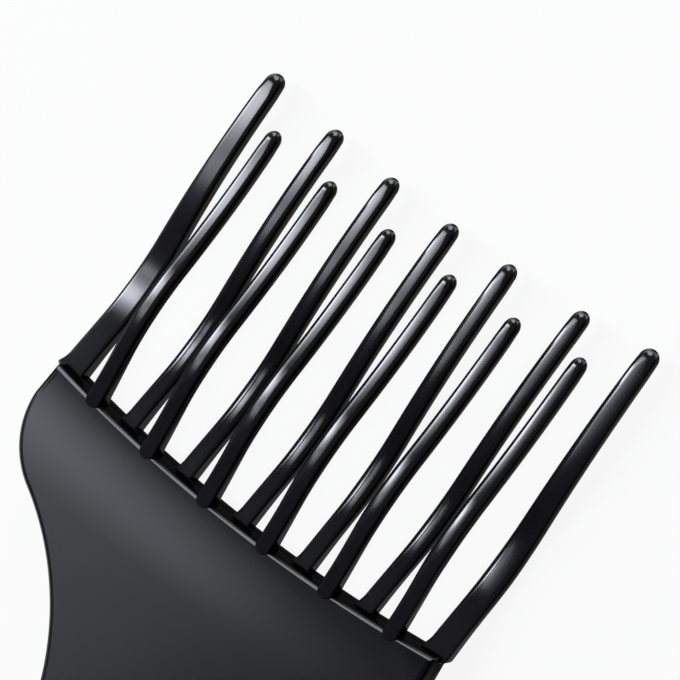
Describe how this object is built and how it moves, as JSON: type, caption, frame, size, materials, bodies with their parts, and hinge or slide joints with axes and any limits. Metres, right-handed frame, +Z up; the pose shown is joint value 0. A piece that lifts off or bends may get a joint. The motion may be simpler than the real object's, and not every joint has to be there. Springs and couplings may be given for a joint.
{
  "type": "afro pick",
  "caption": "Hair pick with two staggered rows of bowed round-tipped tines clamped between the two half shells of a waisted flat handle with a hang hole.",
  "frame": {"origin": "middle of the bounding box at its bottom, where the bows of the rear tines touch the table", "axes": "+X across the head, +Y from the grip to the tine tips, +Z up out of the front face"},
  "size_m": [0.0824, 0.1805, 0.0157],
  "materials": {
    "handle_plastic": "satin black",
    "tine_plastic": "gloss black"
  },
  "bodies": {
    "root": {"front_shell": "handle_plastic", "rear_shell": "handle_plastic", "front_tine_1": "tine_plastic", "front_tine_2": "tine_plastic", "front_tine_3": "tine_plastic", "front_tine_4": "tine_plastic", "front_tine_5": "tine_plastic", "front_tine_6": "tine_plastic", "rear_tine_1": "tine_plastic", "rear_tine_2": "tine_plastic", "rear_tine_3": "tine_plastic", "rear_tine_4": "tine_plastic", "rear_tine_5": "tine_plastic", "rear_tine_6": "tine_plastic", "rear_tine_7": "tine_plastic"}
  },
  "joints": []
}
